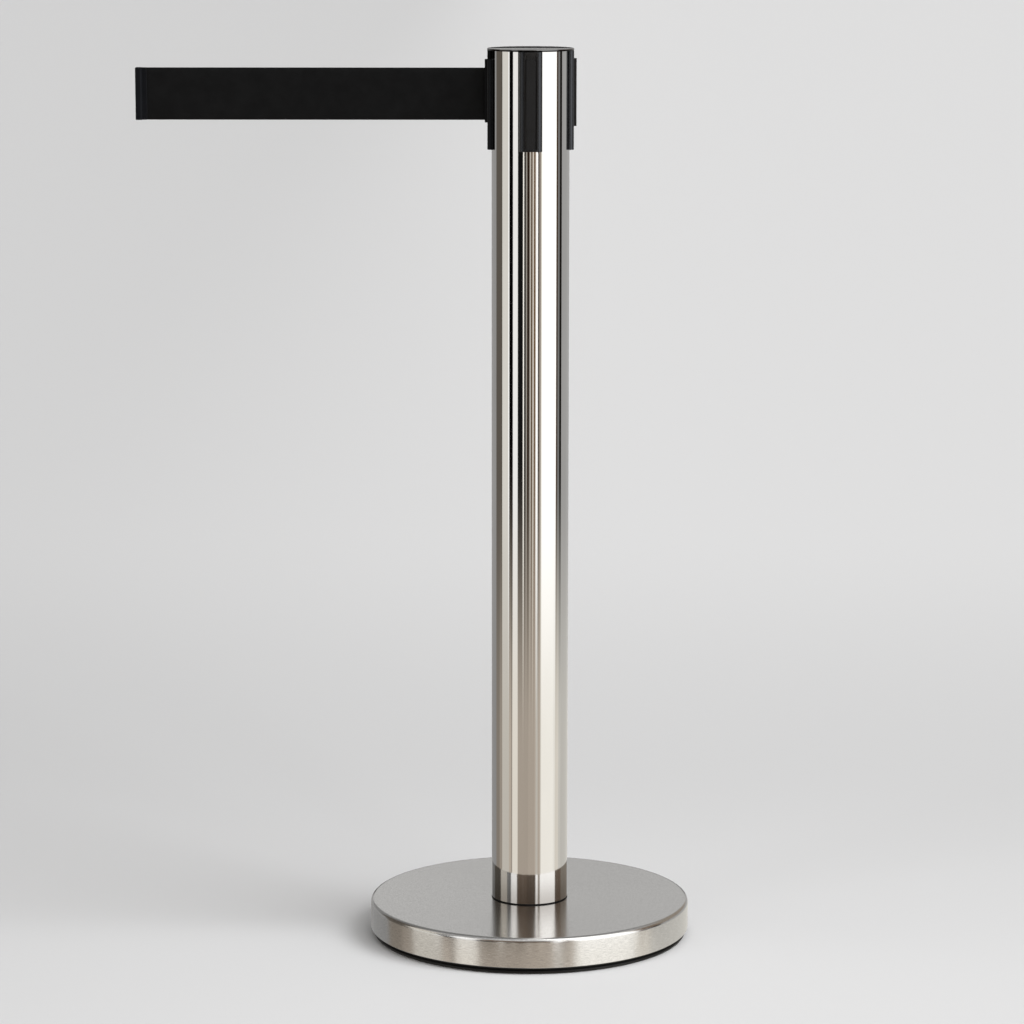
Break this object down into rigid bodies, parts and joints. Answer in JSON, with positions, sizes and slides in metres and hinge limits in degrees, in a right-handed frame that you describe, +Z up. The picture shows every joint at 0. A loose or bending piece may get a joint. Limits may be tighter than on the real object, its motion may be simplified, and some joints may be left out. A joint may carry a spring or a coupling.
{
  "type": "retractable belt stanchion",
  "caption": "Free-standing queue post: weighted round steel base, polished tube, and a head with a sprung belt cassette, snap-in receivers and a black webbing belt held part-way out.",
  "frame": {"origin": "on the post's axis, on the floor under the rubber foot", "axes": "+Z up along the post, -X the way the belt leaves, -Y the front"},
  "size_m": [0.5455, 0.32, 0.888],
  "materials": {
    "polished_steel": "mirror-polished stainless steel",
    "brushed_steel": "satin brushed stainless steel",
    "zinc_steel": "zinc-plated steel",
    "spring_steel": "blued spring steel",
    "dark_chrome": "dark polished chrome",
    "cast_iron": "rough cast, painted black",
    "black_plastic": "satin black moulded ABS",
    "grey_plastic": "plain grey acetal",
    "black_rubber": "matt black rubber",
    "black_webbing": "plain woven black polyester webbing"
  },
  "bodies": {
    "root": {"rubber_foot": "black_rubber", "base_weight": "cast_iron", "base_cover": "brushed_steel", "base_bolt": "zinc_steel", "base_lock_washer": "spring_steel", "base_washer": "zinc_steel", "foot_gasket": "black_rubber", "post_plug": "zinc_steel", "post_tube": "polished_steel", "cassette_body": "black_plastic", "cassette_lid": "black_plastic", "lid_screw_1": "zinc_steel", "lid_screw_2": "zinc_steel", "lid_screw_3": "zinc_steel", "lid_screw_4": "zinc_steel", "top_cap": "dark_chrome", "receiver_front": "black_plastic", "receiver_right": "black_plastic", "receiver_back": "black_plastic", "belt_gate": "black_plastic", "guide_pin_front": "zinc_steel", "guide_pin_back": "zinc_steel", "spool_shaft": "zinc_steel", "thrust_washer": "grey_plastic", "shaft_clip": "spring_steel", "spring_arbor": "zinc_steel"},
    "spool": {"spool_hub": "grey_plastic", "spool_flange_top": "grey_plastic", "spool_flange_bottom": "grey_plastic", "belt_roll": "black_webbing", "spring_cup": "grey_plastic", "spring_cover": "grey_plastic", "power_spring": "spring_steel"},
    "belt_end": {"belt": "black_webbing", "belt_end_clip": "black_plastic"},
    "roller_front": {"guide_roller_front": "grey_plastic"},
    "roller_back": {"guide_roller_back": "grey_plastic"}
  },
  "joints": [
    {"name": "belt_pull", "type": "slide", "parent": "root", "child": "belt_end", "axis": [-1, 0, 0], "range_m": [-0.3293, 1.65], "deforming": ["belt"]},
    {"name": "spool_spin", "type": "hinge", "parent": "root", "child": "spool", "pos_m": [0, 0, 0.8435], "axis": [0, 0, 1], "range_deg": [-5110, 1030], "deforming": ["power_spring"]},
    {"name": "front_roller_spin", "type": "hinge", "parent": "root", "child": "roller_front", "pos_m": [-0.0352, -0.0033, 0.8435], "axis": [0, 0, 1], "continuous": true},
    {"name": "back_roller_spin", "type": "hinge", "parent": "root", "child": "roller_back", "pos_m": [-0.0352, 0.0033, 0.8435], "axis": [0, 0, 1], "continuous": true}
  ],
  "couplings": [
    {"joint": "spool_spin", "follows": "belt_pull", "rad_per_m": -54},
    {"joint": "front_roller_spin", "follows": "belt_pull", "rad_per_m": 384.6},
    {"joint": "back_roller_spin", "follows": "belt_pull", "rad_per_m": -384.6}
  ]
}
